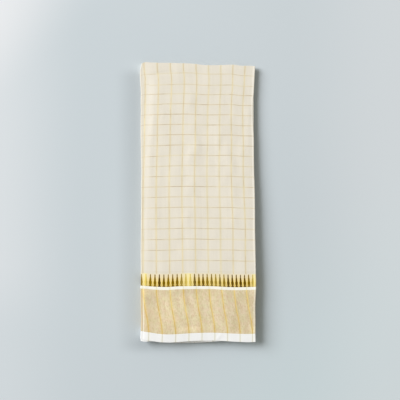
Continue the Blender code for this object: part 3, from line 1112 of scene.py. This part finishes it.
def temple_row():
    """A row of stepped towers. The half width at each height comes from the table of steps, and the mask
    is 1 where the place is nearer the tower's middle than that. Foot and Rise fall from 1 at the foot, one
    quickly and one slowly. Each tower has its own tone, from a noise that is the same all over it."""

    def build(entry):
        cloth = entry["Cloth"]
        along, from_hem = split(cloth)
        half_pitch = entry["Pitch"] * 0.5
        lean = (noise(cloth, "tower lean") - 0.5) * TOWER_LEAN
        ragged = (noise(cloth, "tower edge") - 0.5) * TOWER_RAGGED
        place = along - entry["Start"] + lean
        away = maths("PINGPONG", place, half_pitch) / half_pitch + ragged
        share = (from_hem - entry["Low"]) / (entry["High"] - entry["Low"])
        ramp = wire(add_node(cloth.tree, "ShaderNodeValToRGB"), {"Fac": share})
        stops = ramp.color_ramp.elements
        for index, (at, width) in enumerate(TEMPLE_STEPS):
            # A new ramp has two stops already.
            stop = stops[index] if index < 2 else stops.new(at)
            stop.position = at
            stop.color = (width, width, width, 1.0)
        inside = Signal(ramp.outputs[0]) - away
        below_tip = smooth_step(share, *TOWER_TIP, 1.0, 0.0)
        number = maths("ROUND", place / entry["Pitch"])
        return {
            "Figure": smooth_step(inside, -TOWER_SOFTNESS, TOWER_SOFTNESS) * below_tip,
            "Foot": smooth_step(share, 0.12, 0.30, 1.0, 0.0),
            "Rise": smooth_step(share, 0.25, 1.06, 1.0, 0.0),
            "Tower": derive("ShaderNodeTexWhiteNoise", {"W": number}, noise_dimensions="1D"),
        }

    numbers = {"Pitch": 0.009, "Start": 0.0, "Low": STRIPE_TOP, "High": TEMPLE_TOP}
    return group("Temple row", numbers, ("Figure", "Foot", "Rise", "Tower"), build)


# ---------------------------------------------------------------- finishes

MICRON = 1e-6
BUMP_STRENGTH = 0.6
# A rim is full up to this share of its half width from its middle, and gone at the second. A patch is
# too, in shares of its half sizes.
RIM_FULL, RIM_GONE = 0.4, 1.4
PATCH_FULL, PATCH_GONE = 0.3, 1.4


def new_material(name):
    """A new material and its shader."""
    material = bpy.data.materials.new(name)
    material.use_nodes = True
    return material, material.node_tree.nodes["Principled BSDF"]


def cloth_material(name, build):
    """A material for cloth, made once. build gives the shader's inputs, with the bump's height among them."""
    material = bpy.data.materials.get(name)
    if material:
        return material
    material, shader = new_material(name)
    settings = bpy.context.scene.dhoti_cloth
    cloth = Signal(add_node(material.node_tree, "ShaderNodeUVMap", uv_map=CLOTH_MAP).outputs[0])
    values = build(cloth, settings)
    weave = use_group(plain_weave(), cloth, thread_pitch=settings.thread_pitch)["Height"]
    height = weave * settings.weave_relief + values.pop("Height")
    bump = derive("ShaderNodeBump", {"Height": height, "Distance": 1.0, "Strength": BUMP_STRENGTH})
    wire(shader, {"Normal": bump, **values})
    return material


def streaked(cloth, colour, amount):
    """A colour made a little lighter and darker by the yarn's streaks, and those streaks."""
    streak = use_group(yarn_streaks(), cloth)["Streak"]
    return scaled(colour, streak * amount + 1.0), streak


def check_lines(cloth, settings, broader=1.0):
    """The gold check in its own sizes, with its cross stripes so much broader."""
    return use_group(
        gold_check(),
        cloth,
        cross_pitch=CROSS_PITCH,
        long_pitch=settings.long_pitch,
        long_start=settings.long_start,
        cross_width=settings.cross_width * broader,
        long_width=settings.long_width,
    )


def mesh_value(cloth, name):
    """A value that the mesh keeps at its points."""
    return Signal(add_node(cloth.tree, "ShaderNodeAttribute", attribute_name=name).outputs["Fac"])


def rim(cloth, side, middle, half_width, amount):
    """A soft band beside a fold, with its middle so far in from the fold and so strong there, for painted
    shade and painted highlights along the folds.
    """
    from_fold = mesh_value(cloth, side)
    return soft_band(from_fold, middle, RIM_FULL * half_width, RIM_GONE * half_width, amount)


# How boldly the long threads show, from the hem up, and where they are bolder than elsewhere.
LONG_SHOWN = (
    # from the hem, to, share shown below the first, share shown above the second
    (0.153, 0.162, 0.3, 1.0),
    (0.584, 0.592, 1.0, 0.0),
    (0.535, 0.562, 1.0, 0.78),
)
LONG_BOLD = (
    # from the hem, distance with the whole gain, distance with none of it, gain
    (0.470, 0.040, 0.105, 1.42),
    (0.334, 0.006, 0.012, 1.45),
)
# The same for the cross stripes, which are fainter about one place along the cloth.
CROSS_FAINT = (0.148, 0.012, 0.036, 0.62)
# How far up from the temple figures the ground is tinted gold, and how strongly at its foot.
GOLD_TINT_REACH, GOLD_TINT = 0.0036, 0.6


def ground_material():
    """Ivory cotton crossed by gold threads both ways, painted pale where the cross stripes catch the light
    and duller where the long threads don't: painted highlight and shade of the same gold. The long threads
    are worn in places, and fainter beside the left fold. A gold tint lies just above the temple figures.
    Painted shade darkens the left fold and a painted highlight lightens the right one."""

    def build(cloth, settings):
        colour, streak = streaked(cloth, settings.ivory, 0.065)
        lines = check_lines(cloth, settings)
        along, from_hem = split(cloth)
        above_temple = smooth_step(from_hem, TEMPLE_TOP, TEMPLE_TOP + GOLD_TINT_REACH, GOLD_TINT, 0.0)
        shown = smooth_step(mesh_value(cloth, FROM_LEFT), 0.006, 0.026, 0.5, 1.0)
        for values in LONG_SHOWN:
            shown = shown * smooth_step(from_hem, *values)
        worn = smooth_step(noise(cloth, "thread wear"), 0.32, 0.62, 0.35, 1.15)
        strength = shown * worn * settings.long_strength
        for values in LONG_BOLD:
            strength = strength * soft_band(from_hem, *values, 1.0)
        long_gold = mix_colours(lines["Long tone"], settings.long_dark, settings.long_light)
        cross_gold = mix_colours(lines["Cross tone"], settings.cross_dark, settings.cross_light)
        cross_mask = lines["Cross"] * soft_band(along, *CROSS_FAINT, 1.0) * settings.cross_strength
        colour = layered(
            colour,
            (lines["Cross halo"], settings.gold_wash, "MULTIPLY"),
            (lines["Long halo"] * (shown * 0.8), settings.gold_wash, "MULTIPLY"),
            (above_temple, settings.gold_wash, "MULTIPLY"),
            (lines["Long"] * strength, long_gold),
            (cross_mask, cross_gold),
            # Painted shade along the left fold, and a painted highlight along the right one.
            (rim(cloth, FROM_LEFT, 0.0014, 0.0015, 0.24), settings.painted_fold_shade),
            (rim(cloth, FROM_RIGHT, 0.0010, 0.0030, 0.38), settings.painted_rim_highlight),
        )
        raised = maths("MAXIMUM", lines["Cross"], lines["Long"] * 0.6)
        return {
            "Base Color": colour,
            "Metallic": cross_mask * 0.25,
            "Roughness": between(raised, 0.86, 0.54),
            "Sheen Weight": 0.12,
            "Sheen Roughness": 0.5,
            "Height": streak * (60 * MICRON) + raised * (50 * MICRON),
        }

    return cloth_material("Checked cotton", build)


def temple_material():
    """Towers of gold thread on cotton that pales from gold at their feet to ivory at their tips. The
    gold is painted dark, as shaded metal, where it lies flat, and a painted glint makes it and the cotton
    beside it bright where it would tilt to the light."""

    def build(cloth, settings):
        row = use_group(
            temple_row(), cloth, pitch=CROSS_PITCH / 3, start=settings.temple_start, high=TEMPLE_TOP - TIP_GAP
        )
        gap = mix_colours(row["Rise"], settings.temple_ground, settings.temple_low)
        gap = mix_colours(row["Foot"], gap, settings.gold_foot)
        colour, streak = streaked(cloth, gap, 0.06)
        # Painted glint: where the figures and the cotton beside them are painted bright.
        painted_glint = mesh_value(cloth, GLINT)
        tone = smooth_step(row["Tower"] * 0.70 + noise(cloth, "tower grain") * 0.75, 0.45, 1.0)
        figure = mix_colours(tone, settings.gold_dark, settings.gold_mid)
        figure = mix_colours(painted_glint, figure, settings.glint_gold)
        return {
            "Base Color": layered(colour, (painted_glint * 0.8, settings.glint_pale), (row["Figure"], figure)),
            "Metallic": row["Figure"] * 0.4,
            "Roughness": between(row["Figure"], 0.82, 0.48),
            "Specular IOR Level": 0.03,
            "Height": streak * (50 * MICRON) + row["Figure"] * (80 * MICRON),
        }

    return cloth_material("Temple gold", build)


def white_material():
    """Bleached cotton, warmer in the narrow stripe, with each cross stripe a faint thread through it."""

    def build(cloth, settings):
        in_stripe = smooth_step(split(cloth)[1], SELVEDGE_TOP, TISSUE_TOP)
        white = mix_colours(in_stripe, settings.white, settings.stripe_white)
        colour, streak = streaked(cloth, white, 0.03)
        lines = check_lines(cloth, settings)
        faint = between(in_stripe, 1.0, 0.6) * settings.selvedge_line_strength
        colour = layered(
            colour,
            (lines["Cross halo"] * 0.7, settings.gold_wash, "MULTIPLY"),
            (lines["Cross"] * faint, settings.selvedge_line),
        )
        return {
            "Base Color": colour,
            "Roughness": 0.88,
            "Sheen Weight": 0.15,
            "Sheen Roughness": 0.5,
            "Height": streak * (60 * MICRON),
        }

    return cloth_material("White cotton", build)


# Soft patches of painted light and shade on the tissue, and the two tints that its light drifts between.
TISSUE_PATCHES = (
    # along, from the hem, half width, half height, gain
    (0.0500, 0.058, 0.0130, 0.0260, 0.090),
    (0.0180, 0.088, 0.0110, 0.0160, -0.120),
    (0.0830, 0.028, 0.0280, 0.0075, 0.140),
    (0.0700, 0.108, 0.0600, 0.0100, -0.060),
    (0.0040, 0.107, 0.0070, 0.0110, 0.170),
    (0.1720, 0.045, 0.0130, 0.0240, -0.060),
    (0.2180, 0.028, 0.0100, 0.0080, 0.130),
    (0.2100, 0.070, 0.0380, 0.0600, -0.085),
)
TISSUE_TINTS = ((1.0, 0.965, 0.975), (0.972, 1.0, 0.94))


def patched(colour, cloth):
    """A colour with soft oval patches of painted light and shade, made brighter or duller."""
    gain = 1.0
    for along, from_hem, half_width, half_height, amount in TISSUE_PATCHES:
        offset = vector_maths("SUBTRACT", cloth, (along, from_hem, 0.0))
        away = vector_maths("LENGTH", vector_maths("DIVIDE", offset, (half_width, half_height, 1.0)))
        gain = smooth_step(away, PATCH_FULL, PATCH_GONE, amount, 0.0) + gain
    return scaled(colour, gain)


def tissue_material():
    """Cotton crossed with fine gold: a grainy beige gold, with the cross stripes in brighter gold. It is
    duller where it starts at the left, has painted shade on the left fold and a painted highlight beside
    both folds, and soft patches of painted light and shade."""

    def build(cloth, settings):
        along, from_hem = split(cloth)
        colour, streak = streaked(cloth, settings.tissue, 0.15)
        grain, fibre = noise(cloth, "tissue grain"), noise(cloth, "tissue fibre")
        haze, tint = noise(cloth, "tissue haze"), noise(cloth, "tissue tint")
        colour = layered(
            colour,
            (smooth_step(grain, 0.38, 0.66, 0.0, 0.62), settings.tissue_dark),
            (smooth_step(fibre, 0.40, 0.66, 0.0, 0.50), settings.tissue_light),
            (smooth_step(haze, 0.36, 0.62, 0.28, 0.0), settings.tissue_dark),
            (smooth_step(along, 0.000, 0.030, 0.34, 0.0), settings.tissue_dark),
            (1.0, mix_colours(smooth_step(tint, 0.35, 0.65), *TISSUE_TINTS), "MULTIPLY"),
        )
        # Painted highlights beside both folds.
        left_rim_highlight = rim(cloth, FROM_LEFT, 0.0054, 0.0014, 0.50)
        right_rim_highlight = rim(cloth, FROM_RIGHT, 0.0016, 0.0028, 0.40)
        lines = check_lines(cloth, settings, 1.4)
        # Painted highlight and shade of the tissue's cross stripes, shaded more near the hem.
        gold = mix_colours(lines["Cross tone"], settings.tissue_line_dark, settings.tissue_line)
        near_hem = smooth_step(from_hem, 0.030, 0.062, 0.75, 0.0)
        gold = mix_colours(near_hem, gold, settings.tissue_line_dark)
        colour = layered(
            patched(colour, cloth),
            # Painted shade on the left fold.
            (rim(cloth, FROM_LEFT, 0.0014, 0.0016, 0.40), settings.tissue_dark),
            (maths("MAXIMUM", left_rim_highlight, right_rim_highlight), settings.painted_rim_highlight),
            (lines["Cross halo"] * 1.5, settings.gold_wash, "MULTIPLY"),
            (lines["Cross"] * settings.tissue_line_strength, gold),
        )
        return {
            "Base Color": colour,
            "Metallic": 0.1,
            "Roughness": between(grain, 0.56, 0.76),
            "Specular IOR Level": 0.35,
            "Height": streak * (70 * MICRON),
        }

    return cloth_material("Gold tissue", build)


# The floor has its bright colour, a painted pool of light, where its four lit sides add up to this.
FLOOR_LIT = 0.45


def floor_material(settings):
    """Matt paper, with painted light and shade. Painted light brightens it away from the cloth on both
    sides and most in the far left corner, painted shadow darkens it a little along the cloth's left side,
    and it turns cooler towards the near right corner."""
    material, shader = new_material("Floor paper")
    x, y = split(Signal(add_node(material.node_tree, "ShaderNodeNewGeometry").outputs["Position"]))
    left = smooth_step(x, -0.45, -0.24, 0.17, 0.0) * smooth_step(y, -0.30, -0.12, 0.45, 1.0)
    right = smooth_step(x, 0.18, 0.44, 0.0, 0.11)
    far_left = smooth_step(y - x, 0.62, 0.86, 0.0, 0.17)
    far_right = smooth_step(x + y, 0.10, 0.50, 0.0, 0.03)
    colour = layered(
        settings.floor,
        (smooth_step(x - y, 0.22, 0.70), settings.floor_cool),
        ((left + right + far_left + far_right) / FLOOR_LIT, settings.floor_bright),
    )
    # Painted shadow along the cloth's left side.
    shade = soft_band(x, -0.118, 0.004, 0.067, 0.21) * soft_band(y, -0.018, 0.285, 0.315)
    colour = scaled(colour, 1.0 - shade)
    wire(shader, {"Base Color": colour, "Roughness": 0.95, "Specular IOR Level": 0.1})
    return material


# ---------------------------------------------------------------- settings


def colour_property(name, description, default):
    """A colour that the user can change."""
    return bpy.props.FloatVectorProperty(
        name=name, description=description, default=default, size=3, subtype="COLOR", min=0.0, max=1.0
    )


def size_property(name, description, default):
    """A length in metres."""
    return bpy.props.FloatProperty(
        name=name, description=description, default=default, subtype="DISTANCE", unit="LENGTH", precision=5
    )


def share_property(name, description, default):
    """A share between 0 and 1."""
    return bpy.props.FloatProperty(
        name=name, description=description, default=default, subtype="FACTOR", min=0.0, max=1.0
    )


def angle_property(name, description, degrees):
    """An angle, given in degrees."""
    return bpy.props.FloatProperty(
        name=name, description=description, default=math.radians(degrees), subtype="ANGLE", unit="ROTATION"
    )


class DhotiClothSettings(bpy.types.PropertyGroup):
    """Sizes and colours of the cloth."""

    thickness: size_property("Thickness", "Thickness of one layer of the cotton", 0.00014)
    thread_pitch: size_property("Thread pitch", "Distance between neighbouring threads", 0.0004)
    weave_relief: size_property("Weave relief", "Height of a thread where it passes over another", 0.00006)
    long_pitch: size_property("Long pitch", "Distance between the gold threads along the cloth", 0.02232)
    long_start: size_property("Long start", "Place of the first of them, from the hem", 0.1507)
    long_width: size_property("Long width", "Width of a gold thread along the cloth", 0.0010)
    cross_width: size_property("Cross width", "Width of a gold cross stripe", 0.00142)
    temple_start: size_property("Temple start", "Place of a temple figure along the cloth", -0.0030)

    cross_strength: share_property("Cross strength", "How far the cross stripe covers the ground", 0.70)
    long_strength: share_property("Long strength", "How far the long thread covers the ground", 0.66)
    tissue_line_strength: share_property("Tissue strength", "How far the cross stripe covers the tissue", 0.8)
    selvedge_line_strength: share_property("Selvedge strength", "The same in the white bands", 0.55)

    ivory: colour_property("Ivory", "Ground cotton", (0.829, 0.770, 0.655))
    # Painted highlight and shade of the gold threads: the cross stripes are painted between catching the
    # light and not, and the long threads duller, as out of it.
    cross_light: colour_property("Cross stripe, light", "Where it catches the light", (0.93, 0.76, 0.455))
    cross_dark: colour_property("Cross stripe, dark", "Where it doesn't", (0.66, 0.49, 0.30))
    long_light: colour_property("Long thread, light", "Long thread at its lightest", (0.69, 0.552, 0.405))
    long_dark: colour_property("Long thread, dark", "Long thread at its darkest", (0.49, 0.365, 0.265))
    gold_wash: colour_property("Gold wash", "Tint of the threads beside a gold one", (1.0, 0.985, 0.86))
    temple_ground: colour_property("Temple ground", "Cotton between the figures' tips", (0.885, 0.78, 0.565))
    temple_low: colour_property("Temple ground, low", "The same lower down", (1.0, 0.765, 0.24))
    gold_foot: colour_property("Temple foot", "Gold line under the figures", (0.77, 0.58, 0.19))
    # Painted shade: the dark gold, and the mid gold of its lighter threads, stand for gold thread lying flat
    # and catching little light.
    gold_dark: colour_property("Temple gold, dark", "Temple figure facing up", (0.124, 0.060, 0.0))
    gold_mid: colour_property("Temple gold, mid", "Its lighter threads", (0.315, 0.187, 0.004))
    # The temple gold's painted glint, on the figures and on the cotton beside them.
    glint_gold: colour_property("Temple gold, bright", "The figure where it tilts", (1.0, 0.77, 0.19))
    glint_pale: colour_property("Temple gold, pale", "Cotton beside a tilted figure", (1.0, 0.88, 0.42))
    white: colour_property("White", "Selvedge", (0.955, 0.952, 0.935))
    stripe_white: colour_property("Stripe white", "Narrow white stripe", (0.995, 0.967, 0.87))
    selvedge_line: colour_property("Selvedge stripe", "Cross stripe in the white bands", (0.55, 0.505, 0.39))
    tissue: colour_property("Tissue", "Gold tissue band", (0.874, 0.744, 0.510))
    # Also the colour of the painted shade on the tissue's left fold.
    tissue_dark: colour_property("Tissue, dark", "Its darker specks", (0.68, 0.525, 0.305))
    tissue_light: colour_property("Tissue, light", "Its paler fibres", (0.915, 0.805, 0.585))
    tissue_line: colour_property("Tissue stripe", "Cross stripe in the tissue", (0.96, 0.72, 0.235))
    tissue_line_dark: colour_property("Tissue stripe, dark", "The same out of the light", (0.70, 0.45, 0.09))
    # Painted shade on the left fold, and a painted highlight along the folds.
    painted_fold_shade: colour_property("Folded edge", "Cotton where the left fold turns", (0.36, 0.32, 0.22))
    painted_rim_highlight: colour_property("Pale rim", "Cloth along a pressed edge", (0.96, 0.93, 0.84))


class DhotiStageSettings(bpy.types.PropertyGroup):
    """The floor, lights and camera."""

    floor_size: size_property("Floor size", "Side of the floor", 4.0)
    floor: colour_property("Floor", "Pale blue grey of the floor", (0.602, 0.660, 0.690))
    floor_bright: colour_property("Floor, bright", "Where it catches more light", (0.873, 0.873, 0.886))
    floor_cool: colour_property("Floor, cool", "Towards its near right corner", (0.612, 0.697, 0.722))
    camera_height: size_property("Camera height", "Height of the camera above the floor", 2.0)
    view_width: size_property("View width", "Width that the camera sees at the cloth's top", 0.8546)
    view_x: size_property("View x", "x of the view's middle", 0.0037)
    view_y: size_property("View y", "y of the view's middle", 0.0052)
    key_distance: size_property("Key distance", "Distance of the soft key light", 12.0)
    key_size: size_property("Key size", "Side of the key light", 7.5)
    key_elevation: angle_property("Key elevation", "Angle of the key light above the floor", 34.2)
    key_turn: angle_property("Key turn", "Angle of the key light from the left towards the top", 26)
    key_power: bpy.props.FloatProperty(
        name="Key power", description="Power of the key light in watts", default=1795.0, min=0.0
    )
    fill: bpy.props.FloatProperty(
        name="Fill", description="Brightness of the even light from all round", default=0.338, min=0.0
    )


# ---------------------------------------------------------------- pieces


class DHOTI_OT_hidden_panels(bpy.types.Operator):
    """Build the hidden panels, which show as folded edges all round the stack"""

    bl_idname = "dhoti.hidden_panels"
    bl_label = "Hidden panels"

    def execute(self, context):
        grids, length = hidden_grids()
        materials = [white_material(), tissue_material(), temple_material(), ground_material()]
        piece = cloth_mesh("hidden_panels", grids, materials)
        thicken(piece, context.scene.dhoti_cloth.thickness)
        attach(piece, "root")
        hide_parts("inner_layers")
        return {"FINISHED"}


class DHOTI_OT_ground_cloth(bpy.types.Operator):
    """Build the checked ground of the outer panel, over its top fold and down its back layer"""

    bl_idname = "dhoti.ground_cloth"
    bl_label = "Checked ground"

    def execute(self, context):
        material = ground_material()
        build_band("ground_cloth", "ground_leaf", TEMPLE_TOP, PANEL_HEIGHT, material)
        return {"FINISHED"}


class DHOTI_OT_temple_border(bpy.types.Operator):
    """Build the outer panel's row of temple figures"""

    bl_idname = "dhoti.temple_border"
    bl_label = "Temple border"

    def execute(self, context):
        material = temple_material()
        build_band("temple_border", "temple_band", STRIPE_TOP, TEMPLE_TOP, material)
        return {"FINISHED"}


class DHOTI_OT_white_stripe(bpy.types.Operator):
    """Build the outer panel's narrow white stripe"""

    bl_idname = "dhoti.white_stripe"
    bl_label = "White stripe"

    def execute(self, context):
        material = white_material()
        build_band("white_stripe_cloth", "white_stripe", TISSUE_TOP, STRIPE_TOP, material)
        return {"FINISHED"}


class DHOTI_OT_tissue_border(bpy.types.Operator):
    """Build the outer panel's gold tissue band"""

    bl_idname = "dhoti.tissue_border"
    bl_label = "Gold tissue"

    def execute(self, context):
        material = tissue_material()
        build_band("tissue_border", "tissue_band", SELVEDGE_TOP, TISSUE_TOP, material)
        return {"FINISHED"}


class DHOTI_OT_selvedge(bpy.types.Operator):
    """Build the outer panel's plain white selvedge"""

    bl_idname = "dhoti.selvedge"
    bl_label = "Selvedge"

    def execute(self, context):
        material = white_material()
        build_band("selvedge_cloth", "selvedge_band", 0.0, SELVEDGE_TOP, material)
        return {"FINISHED"}


# ---------------------------------------------------------------- stage

# The floor lies this far under the cloth, and the view's width is taken this far under its highest point.
FLOOR_GAP = 0.0002
AIM_DROP = 0.003
# The key light's slightly cool colour, and the warmer one of the light from all round.
KEY_COLOUR = (1.0, 1.01, 1.045)
FILL_COLOUR = (0.97, 0.955, 0.87, 1.0)


def add_floor(settings):
    """A square of paper, just under the cloth."""
    half = settings.floor_size / 2
    mesh = bpy.data.meshes.new("floor")
    corners = [(x, y, -FLOOR_GAP) for x, y in ((-half, -half), (half, -half), (half, half), (-half, half))]
    mesh.from_pydata(corners, [], [(0, 1, 2, 3)])
    mesh.materials.append(floor_material(settings))
    add_object("floor", mesh)


def add_lights(settings):
    """One large soft light from the far left, and an even fill from all round."""
    light = bpy.data.lights.new("Key softbox", "AREA")
    light.shape = "SQUARE"
    light.size = settings.key_size
    light.energy = settings.key_power
    light.color = KEY_COLOUR
    key = add_object("Key softbox", light)
    level = math.cos(settings.key_elevation)
    towards = (
        -level * math.cos(settings.key_turn),
        level * math.sin(settings.key_turn),
        math.sin(settings.key_elevation),
    )
    key.location = np.array(towards) * settings.key_distance
    key.rotation_euler = (-key.location).to_track_quat("-Z", "Y").to_euler()

    world = bpy.data.worlds.new("Fill")
    world.use_nodes = True
    wire(world.node_tree.nodes["Background"], {"Color": FILL_COLOUR, "Strength": settings.fill})
    bpy.context.scene.world = world


def add_camera(settings):
    """A camera that looks straight down, with its lens set by the width that it sees at the cloth."""
    camera = bpy.data.cameras.new("Overhead camera")
    distance = settings.camera_height - (CAD_TOP - AIM_DROP)
    camera.sensor_width = 36.0
    camera.lens = camera.sensor_width * distance / settings.view_width
    camera.clip_end = 50.0
    overhead = add_object("Overhead camera", camera)
    overhead.location = (settings.view_x, settings.view_y, settings.camera_height)
    bpy.context.scene.camera = overhead


class DHOTI_OT_stage(bpy.types.Operator):
    """Build the floor, the soft lights and the overhead camera"""

    bl_idname = "dhoti.stage"
    bl_label = "Stage"

    def execute(self, context):
        settings = context.scene.dhoti_stage
        add_floor(settings)
        add_lights(settings)
        add_camera(settings)
        context.scene.view_settings.view_transform = "Standard"
        return {"FINISHED"}


class DHOTI_PT_panel(bpy.types.Panel):
    """The dhoti's pieces and settings in the sidebar"""

    bl_idname = "DHOTI_PT_panel"
    bl_label = "Folded dhoti"
    bl_space_type = "VIEW_3D"
    bl_region_type = "UI"
    bl_category = "Dhoti"

    def draw(self, context):
        for operator in OPERATORS:
            self.layout.operator(operator.bl_idname)
        for settings in (context.scene.dhoti_cloth, context.scene.dhoti_stage):
            box = self.layout.box()
            for name in type(settings).__annotations__:
                box.prop(settings, name)


OPERATORS = (
    DHOTI_OT_hidden_panels,
    DHOTI_OT_ground_cloth,
    DHOTI_OT_temple_border,
    DHOTI_OT_white_stripe,
    DHOTI_OT_tissue_border,
    DHOTI_OT_selvedge,
    DHOTI_OT_stage,
)
CLASSES = (DhotiClothSettings, DhotiStageSettings) + OPERATORS + (DHOTI_PT_panel,)


def register():
    """Adds the classes, and their settings to every scene."""
    for item in CLASSES:
        bpy.utils.register_class(item)
    bpy.types.Scene.dhoti_cloth = bpy.props.PointerProperty(type=DhotiClothSettings)
    bpy.types.Scene.dhoti_stage = bpy.props.PointerProperty(type=DhotiStageSettings)


def unregister():
    """Takes away what register adds."""
    del bpy.types.Scene.dhoti_stage
    del bpy.types.Scene.dhoti_cloth
    for item in reversed(CLASSES):
        bpy.utils.unregister_class(item)


def main():
    """Builds every piece and the stage."""
    register()
    bpy.ops.dhoti.hidden_panels()
    bpy.ops.dhoti.ground_cloth()
    bpy.ops.dhoti.temple_border()
    bpy.ops.dhoti.white_stripe()
    bpy.ops.dhoti.tissue_border()
    bpy.ops.dhoti.selvedge()
    bpy.ops.dhoti.stage()


if __name__ == "__main__":
    main()
